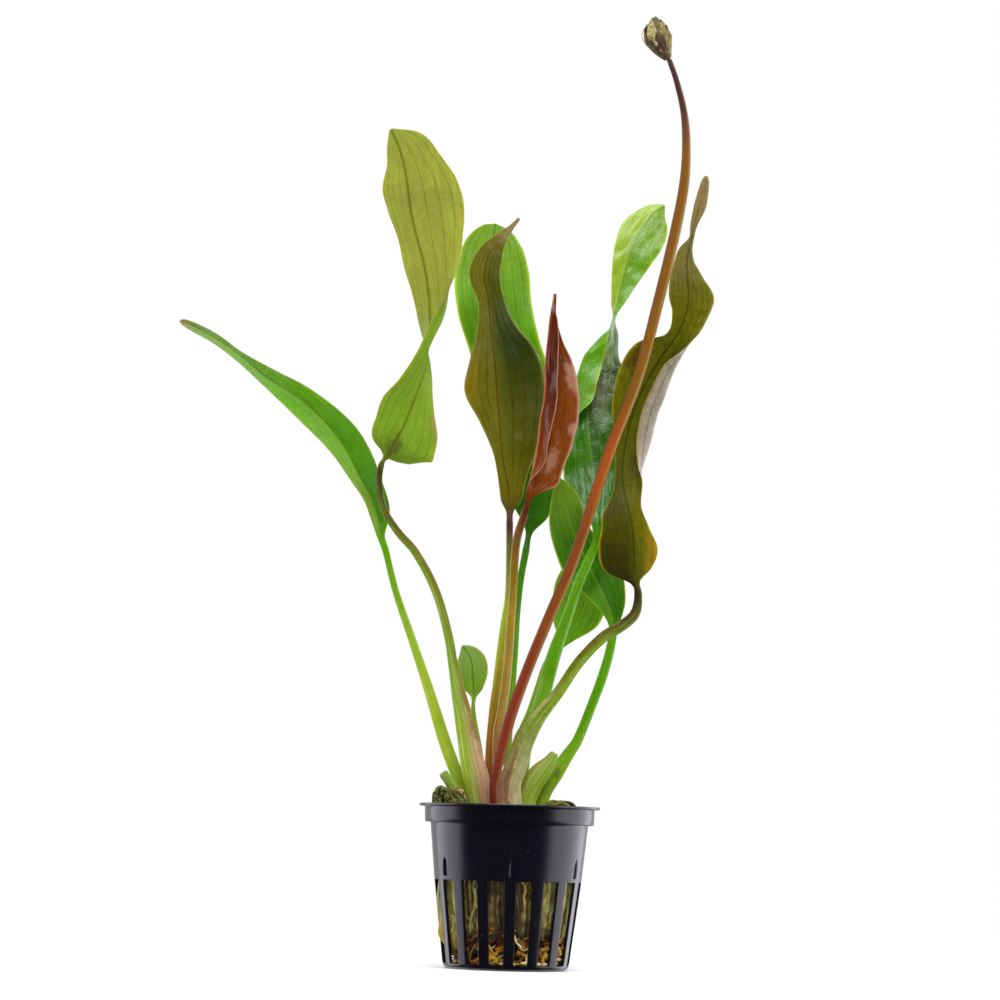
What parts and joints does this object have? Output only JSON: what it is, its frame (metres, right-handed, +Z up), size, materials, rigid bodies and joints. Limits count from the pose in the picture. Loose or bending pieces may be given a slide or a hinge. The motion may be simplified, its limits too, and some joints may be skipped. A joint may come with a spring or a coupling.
{
  "type": "potted aquarium sword plant",
  "caption": "Aquarium sword plant with long-stemmed upright leaves and a budding flower stalk, rooted in mineral wool in a small slotted net pot.",
  "frame": {"origin": "middle of the pot's flat underside", "axes": "+Z up along the pot's axis, +X towards the side that the flower stalk leans to, -Y towards the side with the flower stalk"},
  "size_m": [0.1677, 0.0644, 0.2905],
  "materials": {
    "black_plastic": "satin, moulded",
    "wool": "wet mineral fibres, olive and brown",
    "root": "matted golden and brown roots",
    "green_leaf": "smooth, semi-gloss, bright green",
    "pale_leaf": "smooth, pale green",
    "olive_leaf": "smooth, olive with darker veins",
    "red_leaf": "glossy, rust red",
    "brown_leaf": "smooth, olive brown with golden margins",
    "stalk": "smooth, red below to golden brown above",
    "bud": "papery bracts, green, tan and brown",
    "moss": "matted algae and loose fibres"
  },
  "bodies": {
    "root": {"pot": "black_plastic", "rock_wool": "wool", "crown": "root", "root_mat": "root", "leaf_far_left": "green_leaf", "leaf_upper_left": "olive_leaf", "leaf_rear": "green_leaf", "leaf_centre": "olive_leaf", "leaf_young_red": "red_leaf", "leaf_twisted_right": "green_leaf", "leaf_low_green": "green_leaf", "leaf_low_rear": "pale_leaf", "leaf_wavy_right": "brown_leaf", "leaf_small_round": "green_leaf", "flower_stalk": "stalk", "flower_bud": "bud", "cut_stem_left": "green_leaf", "cut_stem_right": "green_leaf", "moss_left": "moss", "moss_right": "moss"}
  },
  "joints": []
}
